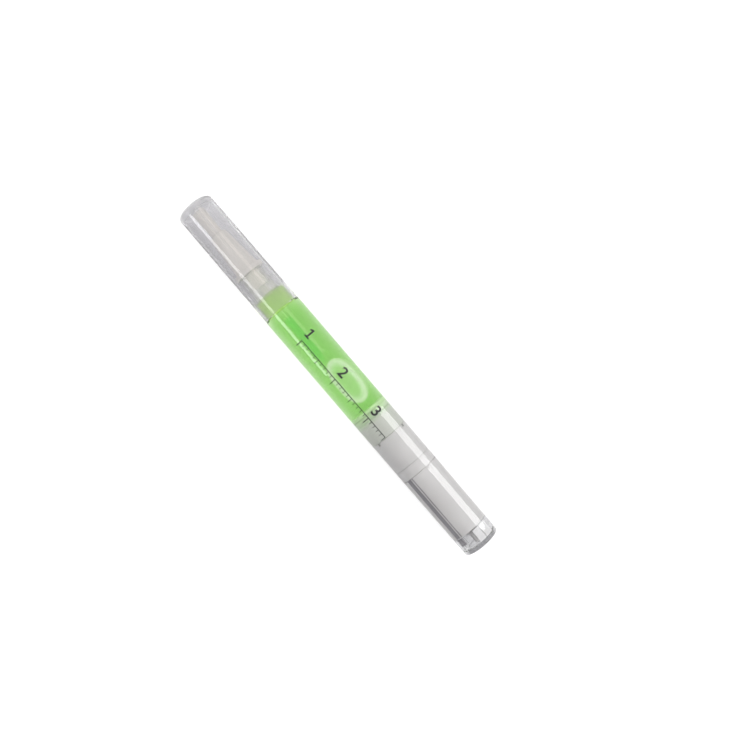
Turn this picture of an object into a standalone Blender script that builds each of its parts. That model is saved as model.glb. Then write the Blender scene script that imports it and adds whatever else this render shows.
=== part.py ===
"""A twist-up cuticle oil pen, capped.

A clear barrel holds the oil. Turning the knob at its tail turns a lead screw in a fixed nut, and the screw
pushes a piston that feeds the oil through a neck plug and a thin tube to the brush, under a clear cap.

Metres, +Z up. The pen lies along X on one facet of its barrel, with the cap towards -X. Every piece is
modelled along the pen's own axis, and a station is a distance along it from the tail end.
"""

import math
import random

import bmesh
import bpy
from mathutils import Vector

# Facets round the pen's outer walls, its inner pieces and its thin tubes
SHELL_SIDES = 32
INNER_SIDES = 24
TUBE_SIDES = 16
FILLET_STEPS = 3

# Clearances between the pieces
SEAT_GAP = 0.00030
SEAL_GAP = 0.00015
PAWL_GAP = 0.00015
CUT_OVERRUN = 0.00100
WELD_DISTANCE = 0.000001

# Barrel: the clear oil chamber with its shoulder and neck
BARREL_RADIUS = 0.00600
BARREL_WALL = 0.00130
CHAMBER_LENGTH = 0.06060
SHOULDER_TAPER = 0.00230
SHOULDER_FILLET = 0.00040
EDGE_FILLET = 0.00020
SHOULDER_WIDTH = 0.00115
NECK_WALL = 0.00095
NECK_LENGTH = 0.01390
NECK_BEAD_STATION = 0.00540
NECK_BEAD_LENGTH = 0.00120
NECK_BEAD_HEIGHT = 0.00015
NECK_TIP_LENGTH = 0.00380
NECK_TIP_STEP = 0.00020

# Cap: it clears the neck's bead and the brush
CAP_INSET = 0.00015
CAP_DRAFT = 0.00017
CAP_FIT = 0.00020
CAP_HEADROOM = 0.00060
CAP_END_WALL = 0.00100
CAP_CORNER = 0.00130
CAP_INNER_CORNER = 0.00060
CAP_LIP_FILLET = 0.00015

# Knob: the clear shell that is held and turned
KNOB_LENGTH = 0.02760
KNOB_DRAFT = 0.00015
KNOB_WALL = 0.00090
KNOB_TAIL_FILLET = 0.00045

# Tail plug, with snap tabs between its slots
PLUG_LENGTH = 0.00530
PLUG_END_WALL = 0.00120
PLUG_SKIRT_WALL = 0.00090
PLUG_BEAD_FROM_TIP = 0.00080
PLUG_BEAD_LENGTH = 0.00080
PLUG_BEAD_HEIGHT = 0.00015
PLUG_SLOT_WIDTH = 0.00120
PLUG_SLOT_RISE = 0.00070
PLUG_SLOTS = 6
PLUG_TURN = -10

# Lead screw, of a share of the bore, and its swivel head
SCREW_BORE_SHARE = 0.362
SCREW_FLAT_SHARE = 0.71
SCREW_NECK_SHARE = 0.68
SCREW_HEAD_STEP = 0.00005
SCREW_HEAD_LENGTH = 0.00120
SCREW_TIP_CHAMFER = 0.00030

# Drive sleeve: a skirt in the knob, and a keyed tube that reaches the nut
SLEEVE_SKIRT_WALL = 0.00080
SLEEVE_WEB = 0.00160
SLEEVE_TUBE_WALL_SHARE = 0.106
SLEEVE_PILOT_SHARE = 0.5
SLEEVE_BOSS_WIDTH = 0.00070
SLEEVE_BOSS_LENGTH = 0.00045
SLEEVE_KEY_WIDTH = 0.00100
SLEEVE_KEY_HEIGHT = 0.00030
SNAP_BEAD_HEIGHT = 0.00015
SNAP_BEAD_LENGTH = 0.00060
SNAP_BEAD_FROM_TIP = 0.00460

# Ratchet: saw teeth fixed in the barrel, and two pawls on a ring that turns with the knob
RATCHET_LENGTH = 0.00255
RATCHET_ROOT_WALL = 0.00025
RATCHET_TOOTH = 0.00035
RATCHET_TEETH = 24
CLICK_LENGTH = 0.00170
CLICK_RING_SHARE = 0.50
PAWL_SLOT_SHARE = 0.20
PAWL_ARM_SHARE = 0.25
PAWL_ROOT_FROM = 112
PAWL_ROOT_TO = 148
PAWLS = 2

# Thread nut: the white insert fixed in the rear of the barrel
NUT_LENGTH = 0.01000
NUT_THREAD_LENGTH = 0.00200
NUT_RIM_CHAMFER = 0.00025
NUT_NOTCH = 0.00080
NUT_NOTCHES = 3
NUT_NOTCH_TURN = 62

# Piston, drawn back with the chamber full: a head with two lips, and a skirt that guides it
PISTON_HEAD_LENGTH = 0.00350
PISTON_SKIRT_LENGTH = 0.00580
PISTON_SKIRT_STEP = 0.00015
PISTON_SKIRT_WALL = 0.00090
PISTON_WAIST = 0.00040
PISTON_LIP_LENGTH = 0.00090
PISTON_LIP_CHAMFER = 0.00020
PISTON_FRONT_WALL = 0.00110
PISTON_COLLAR_LENGTH = 0.00060
PISTON_COLLAR_GRIP = 0.00020

# Oil, neck plug and feed tube
OIL_NECK_LENGTH = 0.00590
NECK_PLUG_RIB_HEIGHT = 0.00015
NECK_PLUG_RIB_LENGTH = 0.00050
NECK_PLUG_RIBS = 3
NECK_PLUG_SOCKET = 0.00500
NECK_PLUG_SOCKET_WALL = 0.00090
FEED_TUBE_RADIUS = 0.00100
FEED_TUBE_WALL = 0.00040

# Nozzle: a flange, a cone and a spigot in the neck plug
FLANGE_INSET = 0.00005
FLANGE_LENGTH = 0.00130
FLANGE_FILLET = 0.00025
CONE_LENGTH = 0.01330
FLANGE_LEDGE = 0.00100
CONE_TIP_RADIUS = 0.00270
CONE_TIP_FILLET = 0.00035
SPIGOT_SHORT = 0.00030
BRUSH_BORE_RADIUS = 0.00200
BRUSH_BORE_DEPTH = 0.00500

# Brush: nylon strands in a slice of their backing
BACKING_LENGTH = 0.00160
BACKING_OIL_HOLE = 0.00045
BRUSH_REACH = 0.00900
BRUSH_SINK = 0.00030
STRANDS = 300
STRAND_RADIUS = 0.00006
STRAND_TIP_RADIUS = 0.00003
STRAND_MARGIN = 0.00015
STRAND_LENGTH_SPREAD = 0.00030
STRAND_ALONG_SHARES = (0.0, 1.0)
STRAND_SPREAD_SHARES = (1.0, 1.32)

# Base colour, roughness, metallic value and transmission of each material
MATERIALS = {
    "clear_plastic": ((0.93, 0.94, 0.94), 0.08, 0.0, 0.9),
    "green_oil": ((0.30, 0.62, 0.10), 0.05, 0.0, 0.8),
    "white_plastic": ((0.82, 0.82, 0.83), 0.40, 0.0, 0.0),
    "translucent_plastic": ((0.80, 0.83, 0.76), 0.35, 0.0, 0.4),
    "nozzle_plastic": ((0.74, 0.74, 0.75), 0.38, 0.0, 0.0),
    "nylon": ((0.66, 0.66, 0.66), 0.45, 0.0, 0.1),
}

# Stations worked out from the sizes above
SEAM = KNOB_LENGTH
KNOB_FRONT = SEAM - SEAT_GAP / 2
BARREL_REAR = SEAM + SEAT_GAP / 2
SHOULDER = SEAM + CHAMBER_LENGTH
NECK_FRONT = SHOULDER + NECK_LENGTH
NECK_TIP_START = NECK_FRONT - NECK_TIP_LENGTH

BORE = BARREL_RADIUS - BARREL_WALL
NECK_RADIUS = BARREL_RADIUS - SHOULDER_WIDTH
NECK_BORE = NECK_RADIUS - NECK_WALL
BEAD_RADIUS = NECK_RADIUS + NECK_BEAD_HEIGHT
KNOB_BORE = BARREL_RADIUS - KNOB_WALL
PLUG_RADIUS = KNOB_BORE - SEAT_GAP
PLUG_SLOT_FLOOR = PLUG_END_WALL + PLUG_SLOT_RISE

SCREW_RADIUS = BORE * SCREW_BORE_SHARE
SCREW_FLAT = SCREW_RADIUS * SCREW_FLAT_SHARE
SCREW_NECK_RADIUS = SCREW_RADIUS * SCREW_NECK_SHARE
SCREW_HEAD_RADIUS = SCREW_RADIUS + SCREW_HEAD_STEP
SCREW_BORE = SCREW_RADIUS + SEAT_GAP
SCREW_REAR = PLUG_END_WALL + SEAT_GAP
SLEEVE_TUBE_WALL = BORE * SLEEVE_TUBE_WALL_SHARE
SLEEVE_TUBE_RADIUS = SCREW_BORE + SLEEVE_TUBE_WALL
SLEEVE_REAR = PLUG_LENGTH + SEAT_GAP
BOSS_FRONT = KNOB_FRONT + SLEEVE_BOSS_LENGTH

RATCHET_REAR = BARREL_REAR + SEAT_GAP
RATCHET_FRONT = RATCHET_REAR + RATCHET_LENGTH
RATCHET_RADIUS = BORE - SEAT_GAP
RATCHET_ROOT = RATCHET_RADIUS - RATCHET_ROOT_WALL
RATCHET_TIP = RATCHET_ROOT - RATCHET_TOOTH
CLICK_REAR = BOSS_FRONT + SEAT_GAP
CLICK_BORE = SLEEVE_TUBE_RADIUS + SEAT_GAP
CLICK_SPACE = RATCHET_TIP - CLICK_BORE
CLICK_RING_RADIUS = CLICK_BORE + CLICK_SPACE * CLICK_RING_SHARE

NUT_REAR = RATCHET_FRONT + SEAT_GAP
NUT_FRONT = NUT_REAR + NUT_LENGTH
NUT_RADIUS = BORE - SEAT_GAP
NUT_THREAD_REAR = NUT_FRONT - NUT_THREAD_LENGTH
SLEEVE_FRONT = NUT_THREAD_REAR - SEAT_GAP

PISTON_REAR = NUT_FRONT + SEAT_GAP
PISTON_HEAD_REAR = PISTON_REAR + PISTON_SKIRT_LENGTH
PISTON_FRONT = PISTON_HEAD_REAR + PISTON_HEAD_LENGTH
PISTON_RADIUS = BORE - SEAL_GAP
SOCKET_RADIUS = SCREW_HEAD_RADIUS + SEAT_GAP
SOCKET_FRONT = PISTON_FRONT - PISTON_FRONT_WALL
SCREW_FRONT = SOCKET_FRONT - SEAT_GAP
SCREW_HEAD_REAR = SCREW_FRONT - SCREW_HEAD_LENGTH
SCREW_THREAD_FRONT = PISTON_HEAD_REAR - SEAT_GAP

OIL_REAR = PISTON_FRONT + SEAT_GAP
OIL_FRONT = SHOULDER + OIL_NECK_LENGTH
NECK_PLUG_REAR = OIL_FRONT + SEAT_GAP
NECK_PLUG_RADIUS = NECK_BORE - SEAL_GAP - NECK_PLUG_RIB_HEIGHT
NECK_PLUG_SOCKET_RADIUS = NECK_PLUG_RADIUS - NECK_PLUG_SOCKET_WALL
SOCKET_FLOOR = NECK_FRONT - NECK_PLUG_SOCKET
FEED_BORE = FEED_TUBE_RADIUS + SEAT_GAP

FLANGE_RADIUS = NECK_RADIUS - FLANGE_INSET
CONE_BASE_RADIUS = FLANGE_RADIUS - FLANGE_LEDGE
FLANGE_REAR = NECK_FRONT + SEAT_GAP
FLANGE_FRONT = FLANGE_REAR + FLANGE_LENGTH
CONE_FRONT = FLANGE_FRONT + CONE_LENGTH
SPIGOT_REAR = SOCKET_FLOOR + SPIGOT_SHORT
SPIGOT_RADIUS = NECK_PLUG_SOCKET_RADIUS - SEAT_GAP
BRUSH_BORE_FLOOR = CONE_FRONT - BRUSH_BORE_DEPTH
BACKING_REAR = BRUSH_BORE_FLOOR + SEAT_GAP
BACKING_FRONT = BACKING_REAR + BACKING_LENGTH
BACKING_RADIUS = BRUSH_BORE_RADIUS - SEAT_GAP
BRUSH_FRONT = CONE_FRONT + BRUSH_REACH

CAP_MOUTH = SHOULDER + SEAT_GAP
CAP_MOUTH_RADIUS = BARREL_RADIUS - CAP_INSET
CAP_END_RADIUS = CAP_MOUTH_RADIUS - CAP_DRAFT
CAP_BORE = BEAD_RADIUS + CAP_FIT
CAP_INNER_END = BRUSH_FRONT + CAP_HEADROOM
CAP_END = CAP_INNER_END + CAP_END_WALL
PEN_LENGTH = CAP_END

AXIS_HEIGHT = BARREL_RADIUS * math.cos(math.pi / SHELL_SIDES)


def softened(corners, radii):
    """A closed outline with an arc in place of each corner that radii names by its number."""
    outline = []
    for number, corner in enumerate(corners):
        here = Vector(corner)
        radius = radii.get(number, 0)
        if not radius:
            outline.append(here)
            continue
        before = (Vector(corners[number - 1]) - here).normalized()
        after = (Vector(corners[(number + 1) % len(corners)]) - here).normalized()
        half = before.angle(after) / 2
        centre = here + (before + after).normalized() * radius / math.sin(half)
        start = here + before * radius / math.tan(half) - centre
        sweep = start.angle_signed(here + after * radius / math.tan(half) - centre)
        for step in range(FILLET_STEPS + 1):
            turn = -sweep * step / FILLET_STEPS
            outline.append(
                centre
                + Vector(
                    (
                        start.x * math.cos(turn) - start.y * math.sin(turn),
                        start.x * math.sin(turn) + start.y * math.cos(turn),
                    )
                )
            )
    return outline


def circle_points(radius, sides, start=0.0, end=360.0):
    """Points round a circle, from one angle to another in degrees, without the last."""
    span = math.radians(end - start)
    first = math.radians(start)
    return [
        (radius * math.cos(first + span * k / sides), radius * math.sin(first + span * k / sides))
        for k in range(sides)
    ]


def arc_points(radius, start, end, steps):
    """Points along an arc between two angles in degrees, with both its ends."""
    return [
        (radius * math.cos(angle), radius * math.sin(angle))
        for angle in (math.radians(start + (end - start) * k / steps) for k in range(steps + 1))
    ]


def make_material(name):
    colour, roughness, metallic, transmission = MATERIALS[name]
    material = bpy.data.materials.new(name)
    material.use_nodes = True
    shader = material.node_tree.nodes["Principled BSDF"]
    shader.inputs["Base Color"].default_value = (*colour, 1.0)
    shader.inputs["Roughness"].default_value = roughness
    shader.inputs["Metallic"].default_value = metallic
    shader.inputs["Transmission Weight"].default_value = transmission
    material.diffuse_color = (*colour, 1.0)
    return material


def add_object(name, data, collection, material, parent, station):
    """An object on the pen's axis, with its origin at a station."""
    piece = bpy.data.objects.new(name, data)
    collection.objects.link(piece)
    if material:
        data.materials.append(material)
    piece.parent = parent
    piece.location = (0, 0, station - parent.get("station", 0))
    return piece


def turned(name, outline, sides, place, material=None, closed=True):
    """A solid of revolution. The outline holds (radius, station) pairs, and runs down its outer side."""
    collection, parent = place
    start = min(station for radius, station in outline)
    mesh = bpy.data.meshes.new(name)
    points = [(radius, 0, station - start) for radius, station in outline]
    edges = [(k, k + 1) for k in range(len(points) - 1)]
    if closed:
        edges.append((len(points) - 1, 0))
    mesh.from_pydata(points, edges, [])
    piece = add_object(name, mesh, collection, material, parent, start)
    screw = piece.modifiers.new("turn", "SCREW")
    screw.axis = "Z"
    screw.angle = 2 * math.pi
    screw.steps = screw.render_steps = sides
    screw.use_merge_vertices = True
    screw.merge_threshold = WELD_DISTANCE
    return piece


def prism(name, loops, start, end, place, material=None):
    """A flat outline, with any holes in it, drawn out from one station to another."""
    collection, parent = place
    curve = bpy.data.curves.new(name, "CURVE")
    curve.dimensions = "2D"
    curve.fill_mode = "BOTH"
    curve.extrude = (end - start) / 2
    for loop in loops:
        spline = curve.splines.new("POLY")
        spline.points.add(len(loop) - 1)
        for point, (x, y) in zip(spline.points, loop):
            point.co = (x, y, 0, 1)
        spline.use_cyclic_u = True
    return add_object(name, as_mesh(curve), collection, material, parent, (start + end) / 2)


def as_mesh(curve):
    """The closed mesh of a curve, whose caps come loose from its sides. The curve is removed."""
    drawn = bpy.data.objects.new(curve.name, curve)
    bpy.context.scene.collection.objects.link(drawn)
    graph = bpy.context.evaluated_depsgraph_get()
    mesh = bpy.data.meshes.new_from_object(drawn.evaluated_get(graph))
    bpy.data.objects.remove(drawn)
    shape = bmesh.new()
    shape.from_mesh(mesh)
    bmesh.ops.remove_doubles(shape, verts=shape.verts, dist=WELD_DISTANCE)
    bmesh.ops.recalc_face_normals(shape, faces=shape.faces)
    shape.to_mesh(mesh)
    shape.free()
    return mesh


def block(name, size, centre, place, turn=0.0):
    """A box of the given size, whose centre is (distance from the axis, 0, station) before its turn."""
    collection, parent = place
    shape = bmesh.new()
    bmesh.ops.create_cube(shape, size=1)
    bmesh.ops.scale(shape, vec=size, verts=shape.verts)
    bmesh.ops.translate(shape, vec=(centre[0], 0, 0), verts=shape.verts)
    mesh = bpy.data.meshes.new(name)
    shape.to_mesh(mesh)
    shape.free()
    piece = add_object(name, mesh, collection, None, parent, centre[1])
    piece.rotation_euler.z = math.radians(turn)
    return piece


def combine(piece, other, operation):
    """Cuts a piece with a helper object, or joins the helper to it. The helper itself isn't shown."""
    boolean = piece.modifiers.new(other.name, "BOOLEAN")
    boolean.operation = operation
    boolean.object = other
    other.hide_render = True
    other.display_type = "WIRE"


def double_flat(radius, flat, sides):
    """A circle with two flats, each at the given distance from the centre."""
    limit = math.degrees(math.acos(flat / radius))
    steps = sides // 2
    right = arc_points(radius, limit, 180 - limit, steps)
    left = arc_points(radius, 180 + limit, 360 - limit, steps)
    return right + left


def make_barrel(place, material):
    bead = SHOULDER + NECK_BEAD_STATION
    half_bead = NECK_BEAD_LENGTH / 2
    tip_radius = NECK_RADIUS - NECK_TIP_STEP
    corners = [
        (tip_radius, NECK_FRONT),
        (tip_radius, NECK_TIP_START),
        (NECK_RADIUS, NECK_TIP_START - NECK_TIP_STEP),
        (NECK_RADIUS, bead + half_bead),
        (BEAD_RADIUS, bead),
        (NECK_RADIUS, bead - half_bead),
        (NECK_RADIUS, SHOULDER),
        (BARREL_RADIUS, SHOULDER),
        (BARREL_RADIUS, BARREL_REAR),
        (BORE, BARREL_REAR),
        (BORE, SHOULDER - SHOULDER_TAPER),
        (NECK_BORE, SHOULDER),
        (NECK_BORE, NECK_FRONT),
    ]
    radii = {0: EDGE_FILLET, 7: SHOULDER_FILLET, 8: EDGE_FILLET}
    turned("barrel", softened(corners, radii), SHELL_SIDES, place, material)


def make_cap(place, material):
    taper = CAP_DRAFT / (CAP_END - CAP_MOUTH)
    inner_end_radius = CAP_BORE - taper * (CAP_INNER_END - CAP_MOUTH)
    bead = SHOULDER + NECK_BEAD_STATION
    groove = NECK_BEAD_LENGTH / 2 + SEAT_GAP
    corners = [
        (0, CAP_END),
        (CAP_END_RADIUS, CAP_END),
        (CAP_MOUTH_RADIUS, CAP_MOUTH),
        (CAP_BORE, CAP_MOUTH),
        (CAP_BORE - taper * (bead - groove - CAP_MOUTH), bead - groove),
        (BEAD_RADIUS + SEAT_GAP, bead),
        (CAP_BORE - taper * (bead + groove - CAP_MOUTH), bead + groove),
        (inner_end_radius, CAP_INNER_END),
        (0, CAP_INNER_END),
    ]
    radii = {1: CAP_CORNER, 2: CAP_LIP_FILLET, 7: CAP_INNER_CORNER}
    outline = softened(corners, radii)
    turned("cap", outline, SHELL_SIDES, place, material, closed=False)


def make_knob_shell(place, material):
    groove = PLUG_LENGTH - PLUG_BEAD_FROM_TIP
    half_groove = PLUG_BEAD_LENGTH / 2 + SEAT_GAP
    corners = [
        (BARREL_RADIUS, KNOB_FRONT),
        (BARREL_RADIUS - KNOB_DRAFT, 0),
        (KNOB_BORE, 0),
        (KNOB_BORE, groove - half_groove),
        (PLUG_RADIUS + PLUG_BEAD_HEIGHT + SEAT_GAP, groove),
        (KNOB_BORE, groove + half_groove),
        (KNOB_BORE, KNOB_FRONT),
    ]
    radii = {0: EDGE_FILLET, 1: KNOB_TAIL_FILLET}
    turned("knob_shell", softened(corners, radii), SHELL_SIDES, place, material)


def make_tail_plug(place, cutters, material):
    bead = PLUG_LENGTH - PLUG_BEAD_FROM_TIP
    inner = PLUG_RADIUS - PLUG_SKIRT_WALL
    corners = [
        (inner, PLUG_LENGTH),
        (PLUG_RADIUS, PLUG_LENGTH),
        (PLUG_RADIUS, bead + PLUG_BEAD_LENGTH / 2),
        (PLUG_RADIUS + PLUG_BEAD_HEIGHT, bead),
        (PLUG_RADIUS, bead - PLUG_BEAD_LENGTH / 2),
        (PLUG_RADIUS, 0),
        (0, 0),
        (0, PLUG_END_WALL),
        (inner, PLUG_END_WALL),
    ]
    radii = {1: EDGE_FILLET, 5: EDGE_FILLET}
    outline = softened(corners, radii)
    first = outline.index(Vector((0, 0)))
    outline = outline[first + 1 :] + outline[: first + 1]
    plug = turned("tail_plug", outline, SHELL_SIDES, place, material, closed=False)
    depth = PLUG_LENGTH + CUT_OVERRUN - PLUG_SLOT_FLOOR
    for number in range(PLUG_SLOTS):
        slot = block(
            f"tail_plug_slot_{number}",
            (2 * PLUG_SKIRT_WALL, PLUG_SLOT_WIDTH, depth),
            (PLUG_RADIUS - PLUG_SKIRT_WALL / 2, PLUG_SLOT_FLOOR + depth / 2),
            (cutters, place[1]),
            PLUG_TURN + 360 * number / PLUG_SLOTS,
        )
        combine(plug, slot, "DIFFERENCE")


def make_drive_sleeve(place, cutters, material):
    skirt = KNOB_BORE - SEAT_GAP
    pilot = SCREW_FLAT * SLEEVE_PILOT_SHARE
    web_rear = KNOB_FRONT - SLEEVE_WEB
    bead = SLEEVE_FRONT - SNAP_BEAD_FROM_TIP
    corners = [
        (SLEEVE_TUBE_RADIUS, SLEEVE_FRONT),
        (SLEEVE_TUBE_RADIUS, bead + SNAP_BEAD_LENGTH / 2),
        (SLEEVE_TUBE_RADIUS + SNAP_BEAD_HEIGHT, bead),
        (SLEEVE_TUBE_RADIUS, bead - SNAP_BEAD_LENGTH / 2),
        (SLEEVE_TUBE_RADIUS, BOSS_FRONT),
        (SLEEVE_TUBE_RADIUS + SLEEVE_BOSS_WIDTH, BOSS_FRONT),
        (SLEEVE_TUBE_RADIUS + SLEEVE_BOSS_WIDTH, KNOB_FRONT),
        (skirt, KNOB_FRONT),
        (skirt, SLEEVE_REAR),
        (skirt - SLEEVE_SKIRT_WALL, SLEEVE_REAR),
        (skirt - SLEEVE_SKIRT_WALL, web_rear),
        (SLEEVE_TUBE_RADIUS, web_rear),
        (SLEEVE_TUBE_RADIUS, SLEEVE_REAR),
        (pilot, SLEEVE_REAR),
        (pilot, SLEEVE_FRONT),
    ]
    radii = {7: EDGE_FILLET, 8: EDGE_FILLET, 10: EDGE_FILLET, 11: EDGE_FILLET}
    sleeve = turned("drive_sleeve", softened(corners, radii), INNER_SIDES, place, material)

    helpers = (cutters, place[1])
    key_bore = prism(
        "drive_sleeve_key_bore",
        [double_flat(SCREW_BORE, SCREW_FLAT + SEAT_GAP, TUBE_SIDES)],
        SLEEVE_REAR - CUT_OVERRUN,
        SLEEVE_FRONT + CUT_OVERRUN,
        helpers,
    )
    combine(sleeve, key_bore, "DIFFERENCE")
    inside = SLEEVE_TUBE_RADIUS - SLEEVE_TUBE_WALL / 2
    outside = SLEEVE_TUBE_RADIUS + SLEEVE_KEY_HEIGHT
    for number in range(PAWLS):
        key = block(
            f"drive_sleeve_key_{number}",
            (outside - inside, SLEEVE_KEY_WIDTH, CLICK_LENGTH),
            ((inside + outside) / 2, CLICK_REAR + CLICK_LENGTH / 2),
            helpers,
            (PAWL_ROOT_FROM + PAWL_ROOT_TO) / 2 + 360 * number / PAWLS,
        )
        combine(sleeve, key, "UNION")


def make_ratchet_ring(place, material):
    """Saw teeth that slope inwards along a positive turn, so the pawls ride over them one way only."""
    teeth = []
    pitch = 360 / RATCHET_TEETH
    for number in range(RATCHET_TEETH):
        teeth += arc_points(RATCHET_ROOT, number * pitch, number * pitch, 1)[:1]
        teeth += arc_points(RATCHET_TIP, (number + 1) * pitch, 0, 1)[:1]
    rim = circle_points(RATCHET_RADIUS, SHELL_SIDES)
    prism("ratchet_ring", [rim, teeth], RATCHET_REAR, RATCHET_FRONT, place, material)


def make_click_ring(place, material):
    """A ring with two arms that trail in a positive turn, each ending in a tooth behind a ratchet wall."""
    pitch = 360 / RATCHET_TEETH
    arm_inner = CLICK_RING_RADIUS + CLICK_SPACE * PAWL_SLOT_SHARE
    arm_outer = arm_inner + CLICK_SPACE * PAWL_ARM_SHARE
    tip = math.degrees(PAWL_GAP / RATCHET_ROOT)
    tooth_top = RATCHET_ROOT - PAWL_GAP - RATCHET_TOOTH * tip / pitch
    tooth_end = (RATCHET_ROOT - PAWL_GAP - arm_outer) / RATCHET_TOOTH * pitch
    notch = math.degrees(math.asin((SLEEVE_KEY_WIDTH / 2 + SEAL_GAP) / CLICK_BORE))
    notch_depth = SLEEVE_TUBE_RADIUS + SLEEVE_KEY_HEIGHT + SEAL_GAP
    middle = (PAWL_ROOT_FROM + PAWL_ROOT_TO) / 2
    outline = []
    bore = []
    for number in range(PAWLS):
        base = 360 * number / PAWLS
        following = base + 360 / PAWLS
        outline += arc_points(arm_inner, base + PAWL_ROOT_FROM, base + tip, TUBE_SIDES // 2)
        outline += arc_points(tooth_top, base + tip, base + tip, 1)[:1]
        outline += arc_points(arm_outer, base + tooth_end, base + PAWL_ROOT_TO, TUBE_SIDES // 2)
        outline += arc_points(
            CLICK_RING_RADIUS, base + PAWL_ROOT_TO, following + PAWL_ROOT_FROM, TUBE_SIDES // 2
        )
        bore += arc_points(notch_depth, base + middle - notch, base + middle + notch, 2)
        bore += arc_points(
            CLICK_BORE, base + middle + notch, following + middle - notch, TUBE_SIDES // 2
        )
    prism(
        "click_ring", [outline, bore], CLICK_REAR, CLICK_REAR + CLICK_LENGTH, place, material
    )


def make_thread_nut(place, cutters, material):
    bead = SLEEVE_FRONT - SNAP_BEAD_FROM_TIP
    half_groove = SNAP_BEAD_LENGTH / 2 + SEAT_GAP
    bore = SLEEVE_TUBE_RADIUS + SEAT_GAP
    corners = [
        (NUT_RADIUS - NUT_RIM_CHAMFER, NUT_FRONT),
        (NUT_RADIUS, NUT_FRONT - NUT_RIM_CHAMFER),
        (NUT_RADIUS, NUT_REAR),
        (bore, NUT_REAR),
        (bore, bead - half_groove),
        (bore + SNAP_BEAD_HEIGHT, bead),
        (bore, bead + half_groove),
        (bore, NUT_THREAD_REAR),
        (SCREW_BORE, NUT_THREAD_REAR),
        (SCREW_BORE, NUT_FRONT),
    ]
    nut = turned("thread_nut", corners, INNER_SIDES, place, material)
    for number in range(NUT_NOTCHES):
        notch = block(
            f"thread_nut_notch_{number}",
            (2 * NUT_NOTCH, NUT_NOTCH, 2 * NUT_NOTCH),
            (NUT_RADIUS, NUT_FRONT),
            (cutters, place[1]),
            NUT_NOTCH_TURN + 360 * number / NUT_NOTCHES,
        )
        combine(nut, notch, "DIFFERENCE")


def make_piston(place, material):
    waist = PISTON_RADIUS - PISTON_WAIST
    rear_lip = PISTON_HEAD_REAR + PISTON_LIP_LENGTH
    front_lip = PISTON_FRONT - PISTON_LIP_LENGTH
    collar_front = PISTON_HEAD_REAR + PISTON_COLLAR_LENGTH
    collar_radius = SCREW_HEAD_RADIUS - PISTON_COLLAR_GRIP
    skirt = PISTON_RADIUS - PISTON_SKIRT_STEP
    outline = [
        (0, PISTON_FRONT),
        (PISTON_RADIUS - PISTON_LIP_CHAMFER, PISTON_FRONT),
        (PISTON_RADIUS, PISTON_FRONT - PISTON_LIP_CHAMFER),
        (PISTON_RADIUS, front_lip + PISTON_LIP_CHAMFER),
        (waist, front_lip - PISTON_LIP_CHAMFER),
        (waist, rear_lip + PISTON_LIP_CHAMFER),
        (PISTON_RADIUS, rear_lip - PISTON_LIP_CHAMFER),
        (PISTON_RADIUS, PISTON_HEAD_REAR + PISTON_SKIRT_STEP),
        (skirt, PISTON_HEAD_REAR),
        (skirt, PISTON_REAR),
        (skirt - PISTON_SKIRT_WALL, PISTON_REAR),
        (skirt - PISTON_SKIRT_WALL, PISTON_HEAD_REAR),
        (collar_radius, PISTON_HEAD_REAR),
        (collar_radius, collar_front),
        (SOCKET_RADIUS, collar_front),
        (SOCKET_RADIUS, SOCKET_FRONT),
        (0, SOCKET_FRONT),
    ]
    turned("piston", outline, SHELL_SIDES, place, material, closed=False)


def make_spindle(place, cutters, material):
    """A rod at the crest of its thread, with two flats, and the head that turns in the piston."""
    helpers = (cutters, place[1])
    crest = double_flat(SCREW_RADIUS, SCREW_FLAT, TUBE_SIDES)
    spindle = prism("spindle", [crest], SCREW_REAR, SCREW_THREAD_FRONT, place, material)
    outline = [
        (0, SCREW_FRONT),
        (SCREW_HEAD_RADIUS - SCREW_TIP_CHAMFER, SCREW_FRONT),
        (SCREW_HEAD_RADIUS, SCREW_FRONT - SCREW_TIP_CHAMFER),
        (SCREW_HEAD_RADIUS, SCREW_HEAD_REAR),
        (SCREW_NECK_RADIUS, SCREW_HEAD_REAR),
        (SCREW_NECK_RADIUS, SCREW_THREAD_FRONT - CUT_OVERRUN),
        (0, SCREW_THREAD_FRONT - CUT_OVERRUN),
    ]
    head = turned("spindle_head", outline, TUBE_SIDES, helpers, closed=False)
    combine(spindle, head, "UNION")


def make_oil(place, material):
    chamber = BORE - SEAT_GAP
    neck = NECK_BORE - SEAT_GAP
    outline = [
        (0, OIL_FRONT),
        (neck, OIL_FRONT),
        (neck, SHOULDER),
        (chamber, SHOULDER - SHOULDER_TAPER),
        (chamber, OIL_REAR),
        (0, OIL_REAR),
    ]
    turned("oil_fill", outline, SHELL_SIDES, place, material, closed=False)


def make_neck_plug(place, material):
    outline = [(NECK_PLUG_SOCKET_RADIUS, NECK_FRONT), (NECK_PLUG_RADIUS, NECK_FRONT)]
    spacing = (NECK_FRONT - NECK_PLUG_REAR) / NECK_PLUG_RIBS
    for number in range(NECK_PLUG_RIBS):
        middle = NECK_FRONT - spacing * (number + 1 / 2)
        outline += [
            (NECK_PLUG_RADIUS, middle + NECK_PLUG_RIB_LENGTH),
            (NECK_PLUG_RADIUS + NECK_PLUG_RIB_HEIGHT, middle + NECK_PLUG_RIB_LENGTH / 2),
            (NECK_PLUG_RADIUS + NECK_PLUG_RIB_HEIGHT, middle - NECK_PLUG_RIB_LENGTH / 2),
            (NECK_PLUG_RADIUS, middle - NECK_PLUG_RIB_LENGTH),
        ]
    outline += [
        (NECK_PLUG_RADIUS, NECK_PLUG_REAR),
        (FEED_BORE, NECK_PLUG_REAR),
        (FEED_BORE, SOCKET_FLOOR),
        (NECK_PLUG_SOCKET_RADIUS, SOCKET_FLOOR),
    ]
    turned("neck_plug", outline, SHELL_SIDES, place, material)


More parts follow.
